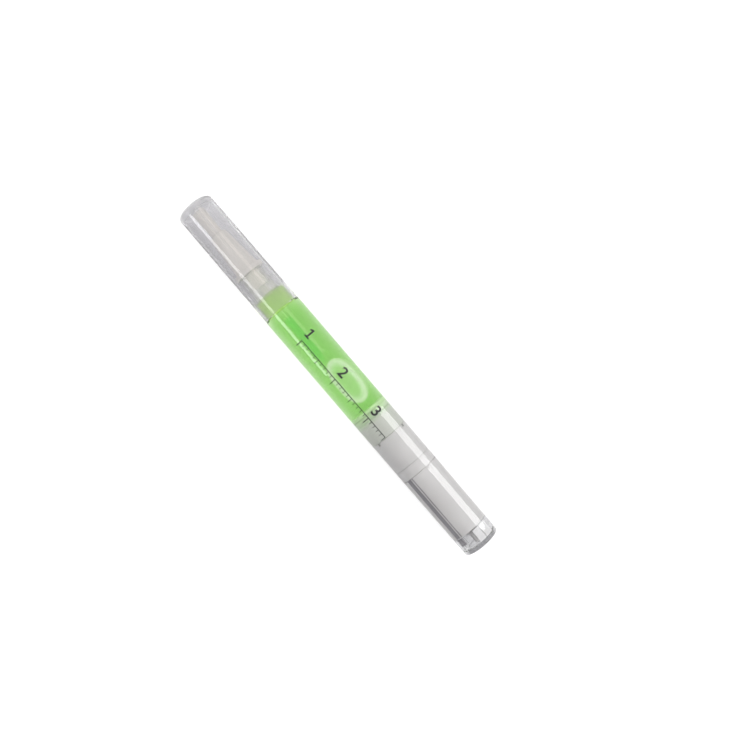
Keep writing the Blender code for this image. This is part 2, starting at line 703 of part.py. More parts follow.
def make_feed_tube(place, material):
    front = BRUSH_BORE_FLOOR
    outline = [
        (FEED_TUBE_RADIUS, front),
        (FEED_TUBE_RADIUS, NECK_PLUG_REAR),
        (FEED_TUBE_RADIUS - FEED_TUBE_WALL, NECK_PLUG_REAR),
        (FEED_TUBE_RADIUS - FEED_TUBE_WALL, front),
    ]
    turned("feed_tube", outline, TUBE_SIDES, place, material)


def make_nozzle_cone(place, material):
    corners = [
        (CONE_TIP_RADIUS, CONE_FRONT),
        (CONE_BASE_RADIUS, FLANGE_FRONT),
        (FLANGE_RADIUS, FLANGE_FRONT),
        (FLANGE_RADIUS, FLANGE_REAR),
        (SPIGOT_RADIUS, FLANGE_REAR),
        (SPIGOT_RADIUS, SPIGOT_REAR),
        (FEED_BORE, SPIGOT_REAR),
        (FEED_BORE, BRUSH_BORE_FLOOR),
        (BRUSH_BORE_RADIUS, BRUSH_BORE_FLOOR),
        (BRUSH_BORE_RADIUS, CONE_FRONT),
    ]
    radii = {0: CONE_TIP_FILLET, 1: FLANGE_FILLET, 2: FLANGE_FILLET, 3: FLANGE_FILLET}
    turned("nozzle_cone", softened(corners, radii), SHELL_SIDES, place, material)


def strand_roots():
    """Evenly spread places on the backing between its oil hole and its rim, along a sunflower spiral."""
    inner = BACKING_OIL_HOLE + STRAND_MARGIN
    outer = BACKING_RADIUS - STRAND_MARGIN
    golden_turn = math.pi * (3 - math.sqrt(5))
    for number in range(STRANDS):
        share = (number + 1 / 2) / STRANDS
        radius = math.sqrt(inner**2 + (outer**2 - inner**2) * share)
        yield radius, number * golden_turn


def make_brush(place, cutters, material):
    """Strands that spread from their roots by one rule, so that none crosses another."""
    spread = random.Random(7)
    curve = bpy.data.curves.new("brush_strands", "CURVE")
    curve.dimensions = "3D"
    curve.bevel_depth = STRAND_RADIUS
    curve.bevel_resolution = 0
    curve.use_fill_caps = True
    sunk_root = BACKING_FRONT - BRUSH_SINK
    middle = (BACKING_REAR + BRUSH_FRONT) / 2
    tip_share = STRAND_TIP_RADIUS / STRAND_RADIUS
    for radius, angle in strand_roots():
        front = BRUSH_FRONT - spread.uniform(0, STRAND_LENGTH_SPREAD)
        spline = curve.splines.new("POLY")
        spline.points.add(len(STRAND_ALONG_SHARES) - 1)
        for point, along, wide in zip(spline.points, STRAND_ALONG_SHARES, STRAND_SPREAD_SHARES):
            station = sunk_root + (front - sunk_root) * along
            x = radius * wide * math.cos(angle)
            y = radius * wide * math.sin(angle)
            point.co = (x, y, station - middle, 1)
            point.radius = 1 + (tip_share - 1) * along
    strands = add_object("brush_strands", as_mesh(curve), cutters, None, place[1], middle)

    backing = [
        (BACKING_RADIUS, BACKING_FRONT),
        (BACKING_RADIUS, BACKING_REAR),
        (BACKING_OIL_HOLE, BACKING_REAR),
        (BACKING_OIL_HOLE, BACKING_FRONT),
    ]
    tuft = turned("brush_tuft", backing, TUBE_SIDES, place, material)
    combine(tuft, strands, "UNION")


def make_frame(name, collection, parent, station):
    """An empty on the pen's axis that carries the pieces of one moving group."""
    frame = bpy.data.objects.new(name, None)
    frame.empty_display_size = BARREL_RADIUS
    collection.objects.link(frame)
    frame["station"] = station
    frame.parent = parent
    if parent:
        frame.location = (0, 0, station - parent["station"])
    return frame


def main():
    for item in list(bpy.data.objects):
        bpy.data.objects.remove(item)
    pen = bpy.data.collections.new("cuticle_oil_pen")
    cutters = bpy.data.collections.new("cutters")
    bpy.context.scene.collection.children.link(pen)
    bpy.context.scene.collection.children.link(cutters)
    look = {name: make_material(name) for name in MATERIALS}

    axis = make_frame("pen_axis", pen, None, 0)
    axis.location = (PEN_LENGTH / 2, 0, AXIS_HEIGHT)
    axis.rotation_mode = "ZYX"
    axis.rotation_euler = (0, -math.pi / 2, math.pi / SHELL_SIDES)
    cap_slide = make_frame("cap_slide", pen, axis, CAP_MOUTH)
    knob_turn = make_frame("knob_turn", pen, axis, SEAM)
    piston_slide = make_frame("piston_slide", pen, axis, PISTON_REAR)
    spindle_slide = make_frame("spindle_slide", pen, knob_turn, SCREW_REAR)

    on_barrel = (pen, axis)
    make_barrel(on_barrel, look["clear_plastic"])
    make_oil(on_barrel, look["green_oil"])
    make_thread_nut(on_barrel, cutters, look["white_plastic"])
    make_ratchet_ring(on_barrel, look["white_plastic"])
    make_neck_plug(on_barrel, look["translucent_plastic"])
    make_feed_tube(on_barrel, look["translucent_plastic"])
    make_nozzle_cone(on_barrel, look["nozzle_plastic"])
    make_brush(on_barrel, cutters, look["nylon"])

    make_cap((pen, cap_slide), look["clear_plastic"])

    on_knob = (pen, knob_turn)
    make_knob_shell(on_knob, look["clear_plastic"])
    make_drive_sleeve(on_knob, cutters, look["white_plastic"])
    make_click_ring(on_knob, look["white_plastic"])
    make_tail_plug(on_knob, cutters, look["clear_plastic"])

    make_piston((pen, piston_slide), look["translucent_plastic"])
    make_spindle((pen, spindle_slide), cutters, look["white_plastic"])


main()
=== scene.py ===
"""Looks for the twist-up oil pen.

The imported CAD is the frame, and every visible piece is dressed here. Sizes are in millimetres, and
stations run from the tail end towards the cap, as in the part's source. Angles round the pen are
in degrees from straight up, and grow towards +Y.
"""

import math
import random

import bmesh
import bpy
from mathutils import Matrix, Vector


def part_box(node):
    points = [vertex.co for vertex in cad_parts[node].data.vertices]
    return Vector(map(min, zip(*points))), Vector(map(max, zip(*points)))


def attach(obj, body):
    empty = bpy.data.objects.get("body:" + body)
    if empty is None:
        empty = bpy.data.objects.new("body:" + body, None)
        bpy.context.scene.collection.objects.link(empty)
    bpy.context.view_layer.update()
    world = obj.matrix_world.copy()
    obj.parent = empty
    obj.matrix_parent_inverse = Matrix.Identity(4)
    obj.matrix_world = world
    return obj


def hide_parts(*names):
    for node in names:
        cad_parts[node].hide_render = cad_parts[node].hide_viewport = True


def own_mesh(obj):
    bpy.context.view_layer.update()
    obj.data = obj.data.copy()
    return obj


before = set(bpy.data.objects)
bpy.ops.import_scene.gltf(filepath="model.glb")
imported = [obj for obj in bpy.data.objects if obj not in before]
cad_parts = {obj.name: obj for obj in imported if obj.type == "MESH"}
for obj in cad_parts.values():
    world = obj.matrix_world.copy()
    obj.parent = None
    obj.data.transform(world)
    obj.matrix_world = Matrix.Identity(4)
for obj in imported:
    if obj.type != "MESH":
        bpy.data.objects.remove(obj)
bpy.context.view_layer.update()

MM = 0.001
LENGTH = 127.6
AXIS_HEIGHT = (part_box("barrel")[0].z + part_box("barrel")[1].z) / 2

# Radii of the CAD's walls
OUTER = AXIS_HEIGHT / MM
BORE = 4.7
NECK = 4.85
NECK_BORE = 3.9
BEAD_RISE = 0.15
KNOB_BORE = 5.1
SLEEVE_RADIUS = 4.8
SLEEVE_BORE = 4.0
KEY_TUBE = 2.5
KEY_BORE = 2.0
SKIRT = 4.8
SKIRT_BORE = 3.9
NUT_RADIUS = 4.4
NUT_RELIEF = 2.8
NUT_BORE = 2.0
LIP = 4.55
PISTON_BORE = 3.5
SCREW_RADIUS = 1.7
RIB_ROOT = 3.6
SPIGOT_BORE = 2.7
TUBE_RADIUS = 1.0
TUBE_BORE = 0.6

# Stations of the CAD's ends and steps
PLUG_FLOOR = 1.2
CATCH = 4.5
SLEEVE_REAR = 5.6
SEAM = 27.6
NUT_REAR = 30.9
SLEEVE_FRONT = 38.6
NUT_FRONT = 41.1
PISTON_REAR = 41.16
PISTON_HEAD = 47.0
PISTON_FRONT = 50.72
OIL_REAR = 50.8
OIL_SPLIT = 85.85
SHOULDER = 88.2
CAP_MOUTH = 88.5
BEAD = 93.6
OIL_FRONT = 94.1
PLUG_REAR = 94.4
NECK_FRONT = 102.1
FLANGE_REAR = 102.14
FLANGE_FRONT = 103.7
BRUSH_FLOOR = 112.0
CONE_FRONT = 117.0
BRUSH_FRONT = 126.0
CAP_INNER_END = 126.6

TAPER = 2.3          # length of the cone from the barrel's bore to the neck's
SEAM_GAP = 0.02      # half the visible gap between barrel and knob
OIL_GAP = 0.02       # between two bodies of the oil
KEY_ANGLE = 5.6      # of the lead screw's flats and the ratchet's first tooth

# The drive sleeve's channel and the fine line beside it, in degrees round the pen; both are grey,
# painted shade for the dark band on the sleeve's shaded side
SHADE_CHANNEL = (294, 314)
SHADE_LINE = 322

# Powers of the bubble's outline, a rounded oblong: |along| ** 3 + |across| ** 2 = 1
BUBBLE_ALONG, BUBBLE_ACROSS = 3.0, 2.0

# Tags of an outline's strips, each the place of a material in the piece's list
BODY = 0
WETTED = 1           # touches what lies beside it, so it neither bends nor returns light
OTHER = 2

SIDES = 128
SMALL_SIDES = 48
ARC_STEPS = 6
ON_AXIS = 1e-6       # a smaller radius is a single point
SHARP = 32.0         # in degrees, as is the next: a steeper edge is drawn sharp
INK_SHARP = 50


# Meshes

def from_middle(station):
    """Millimetres towards +X from the pen's middle."""
    return LENGTH / 2 - station


def around(x, radius, degrees):
    """A point at x metres along the pen, from millimetres round its axis."""
    angle = math.radians(degrees)
    return Vector((
        x,
        radius * MM * math.sin(angle),
        AXIS_HEIGHT + radius * MM * math.cos(angle),
    ))


def place(radius, station, degrees):
    """A point of the pen, from millimetres to the frame's metres."""
    return around(from_middle(station) * MM, radius, degrees)


def softened(corners):
    """The outline with an arc at each corner that has one, as (radius, station, tag) points.

    A corner is (radius, station), then its strip's tag and the radius of its arc where it has them.
    """
    points = []
    for number, corner in enumerate(corners):
        here = Vector(corner[:2])
        tag = corner[2] if len(corner) > 2 else BODY
        arc = corner[3] if len(corner) > 3 else 0
        if not arc:
            points.append((here.x, here.y, tag))
            continue
        before = (Vector(corners[number - 1][:2]) - here).normalized()
        after = (Vector(corners[(number + 1) % len(corners)][:2]) - here).normalized()
        half = before.angle(after) / 2
        centre = here + (before + after).normalized() * arc / math.sin(half)
        start = here + before * arc / math.tan(half) - centre
        sweep = start.angle_signed(here + after * arc / math.tan(half) - centre)
        for step in range(ARC_STEPS + 1):
            turn = -sweep * step / ARC_STEPS
            spot = centre + Vector((
                start.x * math.cos(turn) - start.y * math.sin(turn),
                start.x * math.sin(turn) + start.y * math.cos(turn),
            ))
            points.append((spot.x, spot.y, tag))
    return points


def add_object(name, data):
    thing = bpy.data.objects.new(name, data)
    bpy.context.scene.collection.objects.link(thing)
    return thing


def smooth(mesh, sharp):
    mesh.shade_smooth()
    mesh.set_sharp_from_angle(angle=math.radians(sharp))


def finish_mesh(name, shape, materials, sharp=SHARP, normals=True):
    """Makes a bmesh an object. Its faces are turned outwards, unless normals is False."""
    if normals:
        bmesh.ops.recalc_face_normals(shape, faces=shape.faces)
    mesh = bpy.data.meshes.new(name)
    shape.to_mesh(mesh)
    shape.free()
    for material in materials:
        mesh.materials.append(material)
    smooth(mesh, sharp)
    return add_object(name, mesh)


def lathe(shape, outline, sides=SIDES, closed=True, relief=None):
    """Adds a turned form to a bmesh. A point's tag goes to the strip that starts there.

    relief gives a change of radius from a radius, a station and an angle.
    """
    rings = []
    for radius, station, *_ in outline:
        if radius < ON_AXIS:
            rings.append([shape.verts.new(place(0, station, 0))])
            continue
        ring = []
        for k in range(sides):
            degrees = 360 * k / sides
            extra = relief(radius, station, degrees) if relief else 0
            ring.append(shape.verts.new(place(radius + extra, station, degrees)))
        rings.append(ring)
    count = len(rings)
    for number in range(count if closed else count - 1):
        here, there = rings[number], rings[(number + 1) % count]
        tag = outline[number][2] if len(outline[number]) > 2 else BODY
        for k in range(sides):
            following = (k + 1) % sides
            corners = []
            for ring, index in ((here, k), (here, following), (there, following), (there, k)):
                vert = ring[index % len(ring)]
                if vert not in corners:
                    corners.append(vert)
            if len(corners) > 2:
                face = shape.faces.new(corners)
                face.material_index = tag


def turned(name, corners, materials, sides=SIDES, closed=True, relief=None):
    shape = bmesh.new()
    lathe(shape, softened(corners), sides, closed, relief)
    return finish_mesh(name, shape, materials)


def carve(piece, cutters):
    """Cuts helper solids out of the piece, and removes them."""
    for number, cutter in enumerate(cutters):
        boolean = piece.modifiers.new(f"cut_{number}", "BOOLEAN")
        boolean.operation = "DIFFERENCE"
        boolean.solver = "EXACT"
        boolean.object = cutter
    graph = bpy.context.evaluated_depsgraph_get()
    mesh = bpy.data.meshes.new_from_object(piece.evaluated_get(graph))
    piece.modifiers.clear()
    piece.data = mesh
    for cutter in cutters:
        bpy.data.objects.remove(cutter)
    smooth(mesh, SHARP)


def slab(name, radii, stations, degrees, width):
    """A block that spans two radii and two stations, at one angle round the pen."""
    shape = bmesh.new()
    middle = math.radians(degrees)
    out = Vector((0, math.sin(middle), math.cos(middle)))
    side = Vector((0, math.cos(middle), -math.sin(middle)))
    axis = Vector((0, 0, AXIS_HEIGHT))
    inner, outer = radii
    corners = []
    for station in stations:
        along = Vector((from_middle(station) * MM, 0, 0))
        for radius, shift in ((inner, -1), (outer, -1), (outer, 1), (inner, 1)):
            corners.append(shape.verts.new(
                axis + along + out * radius * MM + side * shift * width / 2 * MM))
    ends = ((0, 1, 2, 3), (7, 6, 5, 4))
    walls = ((0, 4, 5, 1), (1, 5, 6, 2), (2, 6, 7, 3), (3, 7, 4, 0))
    for face in ends + walls:
        shape.faces.new([corners[k] for k in face])
    return finish_mesh(name, shape, [])


# Nodes

def math_node(nodes, links, operation, *sources):
    """The result of a Math node on sockets or plain numbers."""
    node = nodes.new("ShaderNodeMath")
    node.operation = operation
    for socket, source in zip(node.inputs, sources):
        if isinstance(source, (int, float)):
            socket.default_value = source
        else:
            links.new(source, socket)
    return node.outputs[0]


def mapped(nodes, links, source, before, after=(0, 1)):
    """A value carried from one range to another."""
    ranged = nodes.new("ShaderNodeMapRange")
    for name, value in zip(("From Min", "From Max", "To Min", "To Max"), (*before, *after)):
        ranged.inputs[name].default_value = value
    links.new(source, ranged.inputs["Value"])
    return ranged.outputs["Result"]


def split_coords(nodes, links, space):
    coords = nodes.new("ShaderNodeTexCoord")
    split = nodes.new("ShaderNodeSeparateXYZ")
    links.new(coords.outputs[space], split.inputs["Vector"])
    return split.outputs


def ramp(nodes, links, source, stops):
    """A colour ramp over a value, by (position, colour) stops."""
    node = nodes.new("ShaderNodeValToRGB")
    elements = node.color_ramp.elements
    for element, (position, colour) in zip(elements, (stops[0], stops[-1])):
        element.position, element.color = position, (*colour, 1)
    for position, colour in stops[1:-1]:
        elements.new(position).color = (*colour, 1)
    links.new(source, node.inputs["Fac"])
    return node


# Materials

CLEAR_IOR = 1.49
WET_IOR = 1.0        # light goes straight on, as between two clear pieces that touch
CLEAR_GRAIN, CLEAR_RELIEF = 70, 0.0000002
SOLID_GRAIN, SOLID_RELIEF = 120, 0.000004
NOISE_SPAN = (0.35, 0.65)


def new_material(name):
    material = bpy.data.materials.new(name)
    material.use_nodes = True
    nodes = material.node_tree.nodes
    return material, nodes, material.node_tree.links, nodes["Principled BSDF"]


def noise_bump(nodes, links, shader, scale, distance, stretch=(1, 1, 1), detail=3.0):
    """Fine relief from noise in the piece's own coordinates. Gives the noise."""
    coords = nodes.new("ShaderNodeTexCoord")
    mapping = nodes.new("ShaderNodeMapping")
    mapping.inputs["Scale"].default_value = stretch
    noise = nodes.new("ShaderNodeTexNoise")
    noise.inputs["Scale"].default_value = scale
    noise.inputs["Detail"].default_value = detail
    bump = nodes.new("ShaderNodeBump")
    bump.inputs["Distance"].default_value = distance
    links.new(coords.outputs["Object"], mapping.inputs["Vector"])
    links.new(mapping.outputs["Vector"], noise.inputs["Vector"])
    links.new(noise.outputs["Fac"], bump.inputs["Height"])
    links.new(bump.outputs["Normal"], shader.inputs["Normal"])
    return noise.outputs["Fac"]


def shadow_clear(material, share):
    """Lamps shine through the piece: its shadow lets this share of their light pass."""
    nodes, links = material.node_tree.nodes, material.node_tree.links
    shader = nodes["Principled BSDF"]
    output = nodes["Material Output"]
    path = nodes.new("ShaderNodeLightPath")
    clear = nodes.new("ShaderNodeBsdfTransparent")
    clear.inputs["Color"].default_value = (share, share, share, 1)
    mix = nodes.new("ShaderNodeMixShader")
    links.new(path.outputs["Is Shadow Ray"], mix.inputs["Fac"])
    links.new(shader.outputs["BSDF"], mix.inputs[1])
    links.new(clear.outputs["BSDF"], mix.inputs[2])
    links.new(mix.outputs["Shader"], output.inputs["Surface"])


def colour_along(material, axis, stops):
    """Changes the base colour along an axis, by (millimetres, colour) stops."""
    nodes, links = material.node_tree.nodes, material.node_tree.links
    first, last = stops[0][0], stops[-1][0]
    spot = split_coords(nodes, links, "Object")[axis]
    share = mapped(nodes, links, spot, (first * MM, last * MM))
    shares = [((position - first) / (last - first), colour) for position, colour in stops]
    colour = ramp(nodes, links, share, shares).outputs["Color"]
    links.new(colour, nodes["Principled BSDF"].inputs["Base Color"])


def clear_plastic(name, rough, shadow, colour=None, transmission=1.0, across=(), along=()):
    """Moulded clear plastic, with faint flow marks along the pen and a polish that varies a little.

    Its colour is even, or changes by stops across or along the pen, where some stops paint light and
    shade.
    """
    material, nodes, links, shader = new_material(name)
    if colour:
        shader.inputs["Base Color"].default_value = (*colour, 1)
    shader.inputs["IOR"].default_value = CLEAR_IOR
    shader.inputs["Transmission Weight"].default_value = transmission
    noise = noise_bump(
        nodes, links, shader, CLEAR_GRAIN, CLEAR_RELIEF, stretch=(0.2, 1, 1), detail=2.0)
    links.new(mapped(nodes, links, noise, NOISE_SPAN, rough), shader.inputs["Roughness"])
    shadow_clear(material, shadow)
    for axis, stops in (("Y", across), ("X", along)):
        if stops:
            colour_along(material, axis, stops)
    return material


def solid_plastic(name, low, high, rough, scale=SOLID_GRAIN):
    """Opaque plastic with a fine grain. Its colour and its polish vary a little."""
    material, nodes, links, shader = new_material(name)
    noise = noise_bump(nodes, links, shader, scale, SOLID_RELIEF)
    stops = tuple(zip(NOISE_SPAN, (low, high)))
    colour = ramp(nodes, links, noise, stops).outputs["Color"]
    links.new(colour, shader.inputs["Base Color"])
    links.new(mapped(nodes, links, noise, NOISE_SPAN, rough), shader.inputs["Roughness"])
    return material


def liquid(name, colour=None, density=0):
    """A face that light passes straight through.

    Where there is a density, light loses colour with depth behind the face.
    """
    material, nodes, links, shader = new_material(name)
    shader.inputs["Base Color"].default_value = (1, 1, 1, 1)
    shader.inputs["Roughness"].default_value = 0.0
    shader.inputs["IOR"].default_value = WET_IOR
    shader.inputs["Transmission Weight"].default_value = 1.0
    shadow_clear(material, 1)
    if density:
        absorb = nodes.new("ShaderNodeVolumeAbsorption")
        absorb.inputs["Color"].default_value = (*colour, 1)
        absorb.inputs["Density"].default_value = density
        links.new(absorb.outputs["Volume"], nodes["Material Output"].inputs["Volume"])
    return material


def rim_film(name, colour, rim):
    """Painted light on a thin pale skin: clear in its middle, densest near its rim, and less dense
    at its ends.
    """
    material, nodes, links, shader = new_material(name)
    shader.inputs["Base Color"].default_value = (*colour, 1)
    shader.inputs["Roughness"].default_value = 0.5
    spot = split_coords(nodes, links, "Generated")
    powers = []
    for axis, power in (("X", BUBBLE_ALONG), ("Y", BUBBLE_ACROSS)):
        centred = mapped(nodes, links, spot[axis], (0, 1), (-1, 1))
        size = math_node(nodes, links, "ABSOLUTE", centred)
        powers.append(math_node(nodes, links, "POWER", size, power))
    out = math_node(nodes, links, "ADD", *powers)
    densities = ((0.15, 0.01), (0.68, rim), (1.0, 0.06))
    stops = [(position, (dense, dense, dense)) for position, dense in densities]
    density = ramp(nodes, links, out, stops)
    density.color_ramp.interpolation = "EASE"
    ends = math_node(nodes, links, "MULTIPLY_ADD", powers[0], -0.6, 1)
    faded = math_node(nodes, links, "MULTIPLY", density.outputs["Color"], ends)
    links.new(faded, shader.inputs["Alpha"])
    return material


# Lowest and highest roughness
POLISHED = (0.02, 0.05)
FROSTED = (0.28, 0.36)
SATIN = (0.34, 0.42)
UNEVEN = (0.35, 0.5)

# Painted shade: the wall darkens behind the oil's rear, for the shade its dry edges show
WALL = clear_plastic("clear_wall", POLISHED, 0.98, along=(
    (from_middle(OIL_REAR + 2), (0.71, 0.71, 0.715)),
    (from_middle(OIL_REAR - 8), (0.60, 0.60, 0.61)),
))
NECK_WALL = clear_plastic("neck_wall", POLISHED, 0.99, (0.96, 0.96, 0.96))
WET = liquid("wet_wall")
KNOB = clear_plastic("knob_wall", POLISHED, 0.98, (0.60, 0.60, 0.61))
# Painted light and shade: paler on the +Y side, where the light falls, darker towards -Y
PLUG = clear_plastic("plug_wall", POLISHED, 0.98, across=(
    (-4.6, (0.60, 0.60, 0.605)),
    (-2.0, (0.80, 0.80, 0.805)),
    (1.5, (0.80, 0.80, 0.805)),
    (3.0, (0.94, 0.94, 0.94)),
))
# Painted shade: darker towards the cap's -Y edge, away from the light
CAP = clear_plastic("cap_wall", (0.05, 0.09), 0.95, transmission=0.92, across=(
    (-5.4, (0.56, 0.555, 0.57)),
    (-4.5, (0.64, 0.635, 0.65)),
    (-3.2, (0.70, 0.695, 0.71)),
    (-2.0, (0.71, 0.705, 0.72)),
))
CAP_END = clear_plastic("cap_end", FROSTED, 0.95, (0.74, 0.735, 0.75), transmission=0.92)
OIL = liquid("green_oil", (0.38, 0.83, 0.0), 190)
# Painted shade: a deeper green for the darker band along the middle of the oil
OIL_PAINTED_SHADE = liquid("green_oil_painted_shade", (0.0, 1.0, 0.2), 190)
# Painted light: a pale rim on the bubble, for the light that bends there
BUBBLE_RIM_LIGHT = rim_film("bubble_rim_light", (0.90, 0.92, 0.86), 0.18)
OIL_THIN = liquid("green_oil_neck", (0.70, 0.99, 0.0), 260)
WHITE = solid_plastic("white_plastic", (0.73, 0.72, 0.71), (0.77, 0.76, 0.75), (0.30, 0.38))
# Painted shade: grey for the dark band along the drive sleeve's shaded side
SHADE_STRIP = solid_plastic("painted_shade_strip", (0.26, 0.25, 0.27), (0.31, 0.30, 0.32), SATIN)
NOZZLE = solid_plastic("nozzle_plastic", (0.86, 0.83, 0.76), (0.90, 0.87, 0.80), SATIN)
MILKY = clear_plastic("milky_plastic", (0.14, 0.20), 0.9, (0.93, 0.93, 0.87), transmission=0.80)
PISTON = clear_plastic("piston_plastic", FROSTED, 0.6, transmission=0.25, along=(
    (from_middle(PISTON_FRONT), (0.68, 1.0, 0.48)),
    (from_middle(46.4), (0.78, 0.80, 0.74)),
))
BLACK = solid_plastic("black_ink", (0.012, 0.012, 0.013), (0.02, 0.02, 0.021), UNEVEN)
HAIR = solid_plastic("nylon_hair", (0.88, 0.86, 0.82), (0.94, 0.92, 0.88), UNEVEN, scale=900)
shadow_clear(HAIR, 0.90)
FROST = solid_plastic("frosted_pad", (0.90, 0.90, 0.90), (0.94, 0.94, 0.94), (0.25, 0.35))


# Pieces

def dress(piece, body, slot, *nodes):
    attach(piece, body)
    if nodes:
        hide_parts(*nodes)


def make_barrel():
    tip, cone = 3.8, 0.2      # the neck is slimmer at its front
    bead = 0.6                # half its width
    corners = [
        (NECK - cone, NECK_FRONT, OTHER, 0.08),
        (NECK - cone, NECK_FRONT - tip, OTHER),
        (NECK, NECK_FRONT - (tip + cone), OTHER),
        (NECK, BEAD + bead, OTHER),
        (NECK + BEAD_RISE, BEAD, OTHER),
        (NECK, BEAD - bead, OTHER),
        (NECK, SHOULDER, WETTED),
        (OUTER, SHOULDER, BODY, 0.08),
        (OUTER, SEAM + SEAM_GAP, WETTED, 0.04),
        (BORE, SEAM + SEAM_GAP, WETTED),
        (BORE, OIL_REAR, WETTED),
        (BORE, SHOULDER - TAPER, WETTED),
        (NECK_BORE, SHOULDER, WETTED),
        (NECK_BORE, OIL_FRONT, OTHER),
        (NECK_BORE, NECK_FRONT, OTHER),
    ]
    piece = turned("barrel_tube", corners, [WALL, WET, NECK_WALL])
    dress(piece, "barrel_body", "clear_plastic", "barrel")


def make_cap():
    """The cap's bore narrows a little towards its end, and has a groove for the neck's bead."""
    groove = 0.9              # half its width
    mouth = CAP_MOUTH - 0.2   # nearer the shoulder than the CAD's
    taper = 0.17 / (LENGTH - CAP_MOUTH)

    def bore(station):
        return NECK + BEAD_RISE + 0.2 - taper * (station - CAP_MOUTH)

    corners = [
        (0, LENGTH, OTHER),
        (5.68, LENGTH, OTHER, 1.3),
        (5.69, LENGTH - 2.2),
        (5.85, mouth, WETTED, 0.08),
        (NECK + BEAD_RISE + 0.2, mouth),
        (bore(BEAD - groove), BEAD - groove),
        (NECK + BEAD_RISE + 0.3, BEAD),
        (bore(BEAD + groove), BEAD + groove),
        (bore(CAP_INNER_END), CAP_INNER_END, OTHER, 0.6),
        (0, CAP_INNER_END),
    ]
    piece = turned("cap_shell", corners, [CAP, WET, CAP_END], closed=False)
    dress(piece, "cap_body", "clear_plastic", "cap")


def make_knob():
    groove = 0.5              # half its width, for the tail plug's bead
    corners = [
        (OUTER, SEAM - SEAM_GAP, BODY, 0.04),
        (OUTER - 0.15, 0, BODY, 0.45),
        (KNOB_BORE, 0),
        (KNOB_BORE, PLUG_FLOOR, WETTED),
        (KNOB_BORE, CATCH - groove, WETTED),
        (KNOB_BORE + 0.1, CATCH, WETTED),
        (KNOB_BORE, CATCH + groove, WETTED),
        (KNOB_BORE, SEAM - SEAM_GAP, WETTED),
    ]
    piece = turned("knob_tube", corners, [KNOB, WET])
    dress(piece, "knob_body", "clear_plastic", "knob_shell")


def make_sleeve():
    """The sleeve has a lengthwise channel with a grey strip in it, and a fine grey line: both are
    painted shade for the dark band on the sleeve's shaded side.
    """
    sides = 180               # a column of faces starts at each even degree
    channel_depth, line_depth = 0.22, 0.10
    skirt_front, web_rear, web_front = 27.55, 25.85, 27.9
    bead = 34.0               # the snap bead on the key tube
    materials = [WHITE, SHADE_STRIP]

    def channel(radius, station, degrees):
        if radius < SLEEVE_RADIUS - 0.05 or not 5.7 < station < 27.4:
            return 0
        if SHADE_CHANNEL[0] <= degrees <= SHADE_CHANNEL[1]:
            return -channel_depth
        return -line_depth if degrees == SHADE_LINE else 0

    corners = [
        (KEY_TUBE, SLEEVE_FRONT),
        (KEY_TUBE, bead + 0.3),
        (KEY_TUBE + 0.15, bead),
        (KEY_TUBE, bead - 0.3),
        (KEY_TUBE, web_front),
        (3.2, web_front),
        (3.2, skirt_front),
        (SLEEVE_RADIUS, skirt_front, BODY, 0.06),
        (SLEEVE_RADIUS, skirt_front - 0.2),
        (SLEEVE_RADIUS, 5.9),
        (SLEEVE_RADIUS, SLEEVE_REAR, BODY, 0.15),
        (SLEEVE_BORE, SLEEVE_REAR),
        (SLEEVE_BORE, web_rear, BODY, 0.2),
        (KEY_TUBE, web_rear, BODY, 0.2),
        (KEY_TUBE, SLEEVE_REAR),
        (KEY_BORE, SLEEVE_REAR),
        (KEY_BORE, SLEEVE_FRONT),
    ]
    shape = bmesh.new()
    lathe(shape, softened(corners), sides, relief=channel)
    axis = Vector((0, 0, AXIS_HEIGHT))
    for face in shape.faces:
        spot = face.calc_center_median() - axis
        degrees = math.degrees(math.atan2(spot.y, spot.z)) % 360
        outside = math.hypot(spot.y, spot.z) / MM > SLEEVE_RADIUS - 0.3
        # Faces in the channel and on the fine line get the grey of painted shade
        grey = SHADE_CHANNEL[0] < degrees < SHADE_CHANNEL[1] or abs(degrees - SHADE_LINE) < 1.5
        if outside and grey:
            face.material_index = materials.index(SHADE_STRIP)
    piece = finish_mesh("sleeve_white", shape, materials)
    dress(piece, "knob_body", "white_plastic", "drive_sleeve")


def make_tail_plug():
    """A clear end plug, its skirt parted into snap tabs, with two frosted pads on them.

    The end of the sleeve's grey strip of painted shade shows through it.
    """
    tabs = 6
    bead = 0.4                # half its width
    rim = 5.3
    corners = [
        (0, 0),
        (SKIRT, 0, BODY, 0.25),
        (SKIRT, PLUG_FLOOR, WETTED),
        (SKIRT, CATCH - bead, WETTED),
        (SKIRT + 0.15, CATCH, WETTED),
        (SKIRT, CATCH + bead, WETTED),
        (SKIRT, rim, BODY, 0.2),
        (SKIRT_BORE, rim),
        (SKIRT_BORE, PLUG_FLOOR, BODY, 0.25),
        (0, PLUG_FLOOR),
    ]
    piece = turned("plug_clear", corners, [PLUG, WET], sides=96, closed=False)
    carve(piece, [
        slab(f"slot_{k}", (3.4, 5.6), (1.9, 6.0), -4.4 + 360 / tabs * k, 0.5)
        for k in range(tabs)
    ])
    dress(piece, "knob_body", "clear_plastic", "tail_plug")
    for name, outer, degrees, width in (
        ("plug_pad", 4.86, 13.5, 2.0),
        ("plug_pad_wide", 4.80, 44.0, 2.5),
    ):
        pad = slab(name, (4.6, outer), (PLUG_FLOOR + 0.1, rim), degrees, width)
        pad.data.materials.append(FROST)
        dress(pad, "knob_body", "clear_plastic", "tail_plug")
    # The end of the sleeve's painted shade strip, in the same grey
    strip = slab("painted_shade_strip_end", (4.2, 4.7), (3.0, 5.4), sum(SHADE_CHANNEL) / 2, 1.7)
    strip.data.materials.append(SHADE_STRIP)
    dress(strip, "knob_body", "white_plastic", "drive_sleeve")


